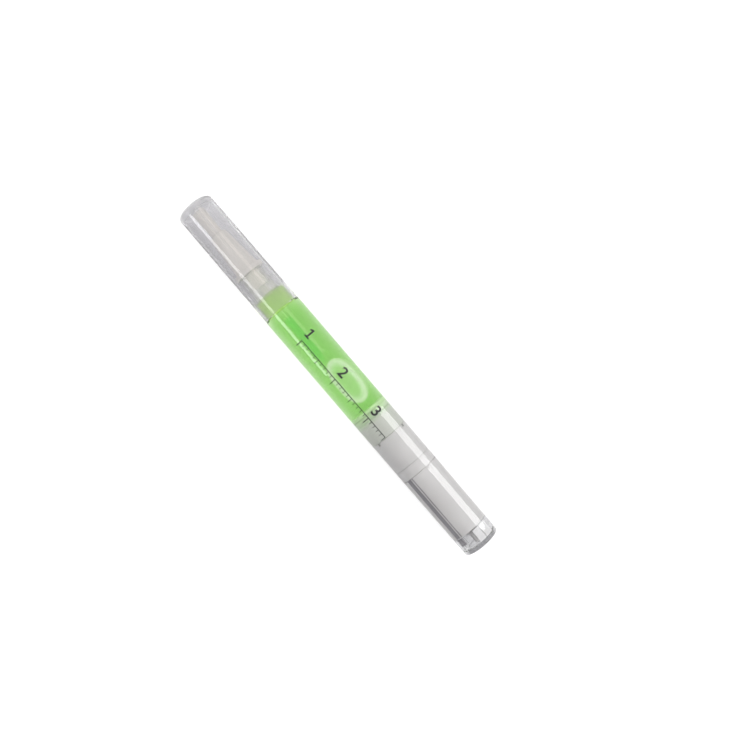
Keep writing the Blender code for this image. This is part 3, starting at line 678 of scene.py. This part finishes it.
def make_nut():
    """The white insert in the barrel's rear, with three small notches in its front rim."""
    notches = 3
    relief_end = 38.9
    corners = [
        (NUT_RADIUS - 0.1, NUT_FRONT),
        (NUT_RADIUS, NUT_FRONT - 0.12, BODY, 0.1),
        (NUT_RADIUS, NUT_REAR, BODY, 0.15),
        (NUT_RELIEF, NUT_REAR),
        (NUT_RELIEF, relief_end),
        (NUT_BORE, relief_end),
        (NUT_BORE, NUT_FRONT),
    ]
    piece = turned("nut_white", corners, [WHITE])
    carve(piece, [
        slab(f"notch_{k}", (3.6, 5.2), (NUT_FRONT - 0.8, NUT_FRONT + 0.8),
             67.6 + 360 / notches * k, 0.8)
        for k in range(notches)
    ])
    dress(piece, "barrel_body", "white_plastic", "thread_nut")


def make_ratchet():
    """The fixed ring, with 24 saw teeth inside."""
    pitch = 360 / 24
    height = 0.35
    root = 4.15
    front = 30.86

    def teeth(radius, station, degrees):
        if radius > root + 0.15:
            return 0
        return -height * (((degrees - KEY_ANGLE) % pitch) / pitch)

    corners = [
        (NUT_RADIUS, front, BODY, 0.08),
        (NUT_RADIUS, SEAM, BODY, 0.08),
        (root, SEAM),
        (root, front),
    ]
    piece = turned("ratchet_white", corners, [WHITE], sides=240, relief=teeth)
    dress(piece, "barrel_body", "white_plastic", "ratchet_ring")


def make_piston():
    """A cup with two sealing lips, and a socket for the lead screw's head."""
    body, waist = 4.4, 4.15
    hole, socket = 1.55, 2.05
    socket_rear, socket_front = 47.6, 49.4
    corners = [
        (0, PISTON_FRONT),
        (4.35, PISTON_FRONT, BODY, 0.1),
        (LIP, PISTON_FRONT - 0.2, BODY, 0.1),
        (LIP, 49.8),
        (waist, 49.4),        # between the lips
        (waist, 48.1),
        (LIP, 47.7),
        (LIP, 47.15),
        (body, PISTON_HEAD),
        (body, PISTON_REAR, BODY, 0.1),
        (PISTON_BORE, PISTON_REAR, BODY, 0.1),
        (PISTON_BORE, PISTON_HEAD, BODY, 0.2),
        (hole, PISTON_HEAD),
        (hole, socket_rear),
        (socket, socket_rear),
        (socket, socket_front),
        (0, socket_front),
    ]
    piece = turned("piston_milky", corners, [PISTON], closed=False)
    dress(piece, "piston_body", "translucent_plastic", "piston")


def make_screw():
    """The lead screw: a 3 mm thread with two flats, and the head that turns in the piston."""
    sides = 40
    pitch, depth = 3, 0.35
    flat = 1.208              # from the axis
    rear, thread_end, step = 1.5, 46.65, 0.2
    neck, head = 1.157, 1.75
    neck_rear, head_rear, head_front, tip = 46.7, 47.9, 48.8, 49.1
    outline = [(0, rear)]
    station = rear
    while station < thread_end:
        outline.append((SCREW_RADIUS, station))
        station += step
    outline += [
        (SCREW_RADIUS, neck_rear),
        (neck, neck_rear),
        (neck, head_rear),
        (head, head_rear),
        (head, head_front),
        (head - 0.3, tip),
        (0, tip),
    ]

    def thread(radius, station, degrees):
        if station > neck_rear - 0.01:
            return 0
        phase = (station / pitch - degrees / 360) % 1
        height = depth * min(1, max(0, 1.7 - abs(phase - 0.5) * 6.0))
        side = abs(math.sin(math.radians(degrees - KEY_ANGLE)))
        limit = flat / side if side > 0.3 else SCREW_RADIUS
        return min(SCREW_RADIUS - (depth - height), limit) - radius

    shape = bmesh.new()
    lathe(shape, outline, sides, closed=False, relief=thread)
    piece = finish_mesh("screw_thread", shape, [WHITE])
    dress(piece, "spindle_body", "white_plastic", "spindle")


def bubble_rows(depth_at, shrink=1.0):
    """Rows of points over the air bubble, at a depth that depends on how far out each one is."""
    along, across = 72, 22
    middle, side, top = 60.6, 0.90, 4.62
    half_length, half_width = 7.9 * shrink, 3.2 * shrink
    rows = []
    for i in range(along + 1):
        a = -math.cos(math.pi * i / along)
        out_along = abs(a) ** BUBBLE_ALONG
        wide = max(0.02, 1 - out_along) ** (1 / BUBBLE_ACROSS)
        row = []
        for j in range(across + 1):
            b = -math.cos(math.pi * j / across) * wide
            y = side + half_width * b
            out = min(1, out_along + abs(b) ** BUBBLE_ACROSS)
            z = math.sqrt(top ** 2 - y ** 2) - depth_at(out)
            degrees = math.degrees(math.atan2(y, z))
            row.append(place(math.hypot(y, z), middle + a * half_length, degrees))
        rows.append(row)
    return rows


def bubble_depth(out):
    """The hollow of the bubble is deeper near its rim."""
    skin, dome, ridge = 0.02, 2.0, 2.4
    rim, width = 0.72, 0.24
    rise = max(0, 1 - ((out - rim) / width) ** 2)
    return skin + dome * (1 - out ** 3) ** 0.5 + ridge * rise


def add_pod(shape, *sheets):
    """A closed form between two sets of rows. Its faces look outwards."""
    faces = []
    sheets = [[[shape.verts.new(spot) for spot in row] for row in rows] for rows in sheets]
    for sheet in sheets:
        for here, there in zip(sheet, sheet[1:]):
            for j in range(len(here) - 1):
                faces.append(shape.faces.new((here[j], here[j + 1], there[j + 1], there[j])))
    top, low = sheets
    for k in (0, -1):
        sides = [(top[i][k], top[i + 1][k], low[i + 1][k], low[i][k]) for i in range(len(top) - 1)]
        ends = [
            (top[k][j], top[k][j + 1], low[k][j + 1], low[k][j]) for j in range(len(top[0]) - 1)
        ]
        faces += [shape.faces.new(corners) for corners in sides + ends]
    bmesh.ops.recalc_face_normals(shape, faces=faces)
    return faces


def make_oil_column():
    """The part of the oil that shortens: the column with its bubble, and a core of deeper green as
    painted shade.

    The core is painted shade: it stands in for the darker band that the round column shows as light
    bends in it. The bubble's film is painted light: it stands in for the light that bends at its
    rim.
    """
    wall = BORE - 0.01
    shape = bmesh.new()
    outline = [(0, OIL_SPLIT), (wall, OIL_SPLIT), (wall, OIL_REAR), (0, OIL_REAR)]
    lathe(shape, outline, closed=False)
    bmesh.ops.recalc_face_normals(shape, faces=shape.faces)
    hollow = add_pod(shape, bubble_rows(lambda out: 0), bubble_rows(bubble_depth))
    bmesh.ops.reverse_faces(shape, faces=hollow)
    column = finish_mesh("oil_column", shape, [OIL], normals=False)

    shape = bmesh.new()
    add_pod(shape, *(bubble_rows(lambda out: depth, 0.97) for depth in (0.03, 0.07)))
    film = finish_mesh("bubble_rim_light", shape, [BUBBLE_RIM_LIGHT])

    shape = bmesh.new()
    outline = [(0, 85.5), (0.9, 85.0), (0.9, 72.0), (0.4, 69.2), (0, 69.0)]
    lathe(shape, outline, SMALL_SIDES, closed=False)
    bmesh.ops.translate(shape, verts=shape.verts, vec=(0, -0.3 * MM, 0))
    core = finish_mesh("oil_shade_core", shape, [OIL_PAINTED_SHADE])

    for piece in (column, film, core):
        dress(piece, "barrel_body", "green_oil", "oil_fill")
        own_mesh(piece)


def make_oil_front():
    """The part of the oil that stays: its tapered front, and a thinner oil in the neck."""
    wall = BORE - 0.01
    neck = NECK_BORE - 0.01
    corners = [
        (0, SHOULDER - OIL_GAP),
        (neck, SHOULDER - OIL_GAP),
        (wall, SHOULDER - TAPER),
        (wall, OIL_SPLIT + OIL_GAP),
        (0, OIL_SPLIT + OIL_GAP),
    ]
    front = turned("oil_front", corners, [OIL], closed=False)
    corners = [(0, OIL_FRONT), (neck, OIL_FRONT), (neck, SHOULDER), (0, SHOULDER)]
    thin = turned("oil_neck", corners, [OIL_THIN], closed=False)
    for piece in (front, thin):
        dress(piece, "barrel_body", "green_oil", "oil_fill")


def make_neck_plug():
    """The plug in the neck, with three sealing ribs, round the feed tube."""
    ribs = 3
    crest = RIB_ROOT + 0.15
    tube_hole, cup_floor = 1.3, 97.1
    corners = [(SPIGOT_BORE, NECK_FRONT), (RIB_ROOT, NECK_FRONT)]
    spacing = (NECK_FRONT - PLUG_REAR) / ribs
    for number in range(ribs):
        middle = NECK_FRONT - spacing * (number + 0.5)
        corners += [
            (RIB_ROOT, middle + 0.5),
            (crest, middle + 0.25),
            (crest, middle - 0.25),
            (RIB_ROOT, middle - 0.5),
        ]
    corners += [
        (RIB_ROOT, PLUG_REAR),
        (tube_hole, PLUG_REAR),
        (tube_hole, cup_floor),
        (SPIGOT_BORE, cup_floor),
    ]
    piece = turned("neck_plug_milky", corners, [MILKY])
    dress(piece, "barrel_body", "translucent_plastic", "neck_plug")
    corners = [
        (TUBE_RADIUS, BRUSH_FLOOR, BODY, 0.08),
        (TUBE_RADIUS, PLUG_REAR, BODY, 0.08),
        (TUBE_BORE, PLUG_REAR),
        (TUBE_BORE, BRUSH_FLOOR),
    ]
    piece = turned("feed_tube_milky", corners, [MILKY], SMALL_SIDES)
    dress(piece, "barrel_body", "translucent_plastic", "feed_tube")


def make_cone():
    """The nozzle: a cone on a flange, with a spigot behind it and the brush's socket inside."""
    tip, foot = 2.7, 3.8
    flange, spigot, socket = 4.8, 2.4, 2.0
    tube_hole, spigot_rear = 1.3, 97.4
    corners = [
        (tip, CONE_FRONT, BODY, 0.35),
        (foot, FLANGE_FRONT, BODY, 0.25),
        (flange, FLANGE_FRONT, BODY, 0.25),
        (flange, FLANGE_REAR, BODY, 0.25),
        (spigot, FLANGE_REAR),
        (spigot, spigot_rear),
        (tube_hole, spigot_rear),
        (tube_hole, BRUSH_FLOOR),
        (socket, BRUSH_FLOOR),
        (socket, CONE_FRONT),
    ]
    piece = turned("cone_nozzle", corners, [NOZZLE])
    dress(piece, "barrel_body", "nozzle_plastic", "nozzle_cone")


def make_hairs():
    """Fine nylon fibres that spread a little from their roots, cut almost flat."""
    draw = random.Random(11)
    count = 620
    root = 113.6
    hole, tuft = 0.55, 1.6    # radii of the ring of roots
    golden = math.pi * (3 - math.sqrt(5))
    profile = ((0.0, 0.045), (0.45, 0.045), (0.85, 0.042), (1.0, 0.022))
    shape = bmesh.new()
    for number in range(count):
        share = (number + 0.5) / count
        radius = math.sqrt(hole**2 + (tuft**2 - hole**2) * share)
        angle = number * golden
        front = BRUSH_FRONT - draw.uniform(0, 0.35)
        spread = 1.28 + draw.uniform(-0.05, 0.05)
        rings = []
        for along, thick in profile:
            station = root + (front - root) * along
            out = radius * (1 + (spread - 1) * along)
            cx, cy = out * math.cos(angle), out * math.sin(angle)
            ring = []
            for k in range(4):
                turn = math.pi / 2 * k + angle
                y, z = cx + thick * math.cos(turn), cy + thick * math.sin(turn)
                ring.append(shape.verts.new((
                    from_middle(station) * MM, y * MM, AXIS_HEIGHT + z * MM)))
            rings.append(ring)
        shape.faces.new(rings[0])
        shape.faces.new(rings[-1])
        for a, b in zip(rings, rings[1:]):
            for k in range(4):
                shape.faces.new((a[k], a[(k + 1) % 4], b[(k + 1) % 4], b[k]))
    hairs = finish_mesh("brush_hairs", shape, [HAIR])
    dress(hairs, "barrel_body", "nylon", "brush_tuft")


def make_brush_root():
    """The slice of backing that the fibres are fused to."""
    radius, hole = 1.7, 0.45
    rear, front = 112.3, 113.9
    corners = [(radius, front), (radius, rear), (hole, rear), (hole, front)]
    piece = turned("brush_root", corners, [HAIR], SMALL_SIDES)
    dress(piece, "barrel_body", "nylon", "brush_tuft")


# The fill scale, drawn flat in millimetres and laid round the barrel

SCALE_STEP, SCALE_START = 14.4, -13.7
RULE = (-1.35, -1.12)         # the ruler's long line
INK_LOW, INK_HIGH = -0.004, 0.012
BAR_ROW, NUMERAL_ROW = 0.4, 0.3     # spacing of the cuts that let the print bend
NUMERAL_FOOT = 0.25
HALF_EXTRUDE = 0.008


def wrapped(x, y, height):
    """A point of the flat print laid round the barrel. y is up the print, towards +Y."""
    return around(x * MM, OUTER + height, math.degrees(y / OUTER))


def add_bar(shape, x0, x1, y0, y1):
    """A bar of ink, cut across so that it follows the barrel."""
    rows = max(1, round((y1 - y0) / BAR_ROW))
    grid = []
    for height in (INK_LOW, INK_HIGH):
        for k in range(rows + 1):
            y = y0 + (y1 - y0) * k / rows
            grid.append([shape.verts.new(wrapped(x, y, height)) for x in (x0, x1)])
    lower, upper = grid[:rows + 1], grid[rows + 1:]
    for k in range(rows):
        shape.faces.new((upper[k][0], upper[k][1], upper[k + 1][1], upper[k + 1][0]))
        shape.faces.new((lower[k][0], lower[k + 1][0], lower[k + 1][1], lower[k][1]))
        shape.faces.new((lower[k][0], upper[k][0], upper[k + 1][0], lower[k + 1][0]))
        shape.faces.new((lower[k][1], lower[k + 1][1], upper[k + 1][1], upper[k][1]))
    shape.faces.new((lower[0][0], lower[0][1], upper[0][1], upper[0][0]))
    shape.faces.new((lower[rows][0], upper[rows][0], upper[rows][1], lower[rows][1]))


def add_font_numeral(shape, number):
    """A numeral in Blender's own font, flat."""
    font = bpy.data.curves.new(f"numeral_{number}", "FONT")
    font.body = str(number)
    font.size = 4.6
    font.offset = 0.09
    font.extrude = HALF_EXTRUDE
    font.align_x = "CENTER"
    font.resolution_u = 6
    drawn = add_object(font.name, font)
    graph = bpy.context.evaluated_depsgraph_get()
    mesh = bpy.data.meshes.new_from_object(drawn.evaluated_get(graph))
    bpy.data.objects.remove(drawn)
    shape.from_mesh(mesh)
    bmesh.ops.remove_doubles(shape, verts=shape.verts, dist=0.0005)


def add_one(shape):
    """The numeral 1, flat, with a foot and a flag."""
    left, right = -0.22, 0.32
    foot, flag, top = 0.46, 2.50, 3.25
    quads = (
        ((-0.80, 0), (left, 0), (left, foot), (-0.80, foot)),
        ((left, 0), (right, 0), (right, foot), (left, foot)),
        ((right, 0), (0.90, 0), (0.90, foot), (right, foot)),
        ((left, foot), (right, foot), (right, flag), (left, flag)),
        ((left, flag), (right, flag), (right, top), (-0.10, top)),
        ((-0.90, 2.15), (left, flag), (-0.10, top), (-0.90, 2.70)),
    )
    spots = {}
    for quad in quads:
        for spot in quad:
            if spot not in spots:
                spots[spot] = [shape.verts.new((*spot, z)) for z in (HALF_EXTRUDE, -HALF_EXTRUDE)]
        shape.faces.new([spots[spot][0] for spot in quad])
    rim = [edge.verts[:] for edge in shape.edges if len(edge.link_faces) == 1]
    under = {upper: lower for upper, lower in spots.values()}
    for quad in quads:
        shape.faces.new([spots[spot][1] for spot in reversed(quad)])
    for a, b in rim:
        shape.faces.new((a, b, under[b], under[a]))


def make_ruler():
    """Ten ticks a step: the long ones at full steps, and middling ones halfway."""
    base, top = RULE
    full, fine = 0.14, 0.10   # half widths
    long_tick, middle_tick, short_tick = 2.1, 1.5, 0.85
    shape = bmesh.new()
    for k in range(26):
        x = SCALE_START + SCALE_STEP * k / 10
        tick = long_tick if k % 10 == 0 else middle_tick if k % 5 == 0 else short_tick
        half = full if k % 10 == 0 else fine
        add_bar(shape, x - half, x + half, base - tick, base)
    add_bar(shape, SCALE_START - full, SCALE_START + 2.5 * SCALE_STEP + fine, base, top)
    ruler = finish_mesh("scale_ruler", shape, [BLACK], INK_SHARP)
    dress(ruler, "barrel_body", "clear_plastic", "barrel")


def make_numerals():
    """A plain numeral at each full step, cut across so that it follows the barrel."""
    cuts = 15
    for number in (1, 2, 3):
        shape = bmesh.new()
        if number == 1:
            add_one(shape)
        else:
            add_font_numeral(shape, number)
        for k in range(1, cuts + 1):
            everything = shape.verts[:] + shape.edges[:] + shape.faces[:]
            cut = (0, k * NUMERAL_ROW, 0)
            bmesh.ops.bisect_plane(shape, geom=everything, plane_co=cut, plane_no=(0, 1, 0))
        centre = SCALE_START + SCALE_STEP * (number - 1)
        for vert in shape.verts:
            x, y, z = vert.co
            vert.co = wrapped(centre + x, NUMERAL_FOOT + y, INK_HIGH if z > 0 else INK_LOW)
        piece = finish_mesh(f"scale_numeral_{number}", shape, [BLACK], INK_SHARP)
        dress(piece, "barrel_body", "clear_plastic", "barrel")


click_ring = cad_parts["click_ring"]
click_ring.data.materials.clear()
click_ring.data.materials.append(WHITE)

make_barrel()
make_cap()
make_knob()
make_sleeve()
make_tail_plug()
make_nut()
make_ratchet()
make_piston()
make_screw()
make_oil_column()
make_oil_front()
make_neck_plug()
make_cone()
make_hairs()
make_brush_root()
make_ruler()
make_numerals()


# Stage, light and camera

LAMP_DISTANCE = 0.50
WARM = (1.0, 0.92, 0.80)
FLOOR_HALF = 1.5
SENSOR = 36
CAMERA_DISTANCE = 0.240
VIEW_WIDTH = 0.2131           # in metres, at the pen's axis
CAMERA_SPOT = (0.0045, 0.0079)
CAMERA_TURN = 49.34


def backdrop(nodes, links, plain, seen, output):
    """Sends out the seen shader to rays that show the backdrop, and the plain one to the rest.

    A ray shows the backdrop until it has met a diffuse surface.
    """
    path = nodes.new("ShaderNodeLightPath").outputs
    direct = path["Is Camera Ray"]
    for kind in ("Is Glossy Ray", "Is Transmission Ray"):
        direct = math_node(nodes, links, "MAXIMUM", direct, path[kind])
    fresh = math_node(nodes, links, "LESS_THAN", path["Diffuse Depth"], 0.5)
    mix = nodes.new("ShaderNodeMixShader")
    links.new(math_node(nodes, links, "MULTIPLY", direct, fresh), mix.inputs["Fac"])
    links.new(plain.outputs[0], mix.inputs[1])
    links.new(seen.outputs[0], mix.inputs[2])
    links.new(mix.outputs[0], output.inputs["Surface"])


def make_stage():
    """A pale floor. Seen directly it glows to white, and keeps the pen's shadow."""
    shape = bmesh.new()
    bmesh.ops.create_grid(shape, x_segments=2, y_segments=2, size=FLOOR_HALF)
    mesh = bpy.data.meshes.new("floor")
    shape.to_mesh(mesh)
    shape.free()
    floor = add_object("floor", mesh)
    material = bpy.data.materials.new("floor_white")
    material.use_nodes = True
    nodes, links = material.node_tree.nodes, material.node_tree.links
    nodes.clear()
    output = nodes.new("ShaderNodeOutputMaterial")
    plain = nodes.new("ShaderNodeBsdfDiffuse")
    plain.inputs["Color"].default_value = (0.55, 0.55, 0.55, 1)
    soft = nodes.new("ShaderNodeBsdfDiffuse")
    soft.inputs["Color"].default_value = (0.36, 0.36, 0.36, 1)
    glow = nodes.new("ShaderNodeEmission")
    glow.inputs["Strength"].default_value = 0.79
    both = nodes.new("ShaderNodeAddShader")
    links.new(soft.outputs[0], both.inputs[0])
    links.new(glow.outputs[0], both.inputs[1])
    backdrop(nodes, links, plain, both, output)
    mesh.materials.append(material)


def make_world():
    """A grey sky, paler towards +Y. Seen directly it is white."""
    world = bpy.data.worlds.new("studio")
    bpy.context.scene.world = world
    world.use_nodes = True
    nodes, links = world.node_tree.nodes, world.node_tree.links
    nodes.clear()
    output = nodes.new("ShaderNodeOutputWorld")
    sky = nodes.new("ShaderNodeBackground")
    side = split_coords(nodes, links, "Generated")["Y"]
    greys = ramp(nodes, links, mapped(nodes, links, side, (-1, 1)), (
        (0.10, (0.30, 0.29, 0.32)),
        (0.45, (0.60, 0.60, 0.61)),
        (0.85, (0.80, 0.80, 0.80)),
    ))
    links.new(greys.outputs["Color"], sky.inputs["Color"])
    white = nodes.new("ShaderNodeBackground")
    white.inputs["Color"].default_value = (1, 1, 1, 1)
    backdrop(nodes, links, sky, white, output)


def make_lamp(name, radiance, xs, tilts, colour=(1, 1, 1)):
    """A soft lamp along the pen, over a span of degrees from straight above, towards +Y."""
    data = bpy.data.lights.new(name, "AREA")
    data.shape = "RECTANGLE"
    span = math.radians(tilts[1] - tilts[0])
    data.size = xs[1] - xs[0]
    data.size_y = 2 * LAMP_DISTANCE * math.tan(span / 2)
    data.energy = radiance * math.pi * data.size * data.size_y
    data.color = colour
    lamp = add_object(name, data)
    angle = math.radians((tilts[0] + tilts[1]) / 2)
    lamp.location = (
        (xs[0] + xs[1]) / 2,
        LAMP_DISTANCE * math.sin(angle),
        LAMP_DISTANCE * math.cos(angle),
    )
    lamp.rotation_euler = (-angle, 0, 0)
    lamp.visible_camera = False
    lamp.visible_transmission = False


def make_camera():
    """Straight above the pen, turned so that the pen lies as in the photograph."""
    data = bpy.data.cameras.new("camera")
    data.sensor_width = SENSOR
    data.sensor_fit = "HORIZONTAL"
    data.lens = SENSOR * CAMERA_DISTANCE / VIEW_WIDTH
    data.clip_start = 0.01
    camera = add_object("camera", data)
    camera.location = (*CAMERA_SPOT, AXIS_HEIGHT + CAMERA_DISTANCE)
    camera.rotation_euler = (0, 0, math.radians(CAMERA_TURN))
    bpy.context.scene.camera = camera


make_stage()
make_world()
make_lamp("softbox", 5.8, (0.054, 0.230), (40, 82))
make_lamp("strip", 6.5, (-0.310, -0.030), (-54, -38))
make_lamp("warm_line", 1.7, (-0.260, -0.060), (14, 31), WARM)
make_lamp("warm_line_low", 1.8, (-0.260, -0.130), (-7, 0), WARM)
make_camera()
bpy.context.scene.view_settings.view_transform = "Standard"

# Light passes through many faces of clear plastic and oil, and turns back inside the walls
paths = bpy.context.scene.cycles
paths.max_bounces = 40
paths.glossy_bounces = 20
paths.transmission_bounces = 40
paths.transparent_max_bounces = 40
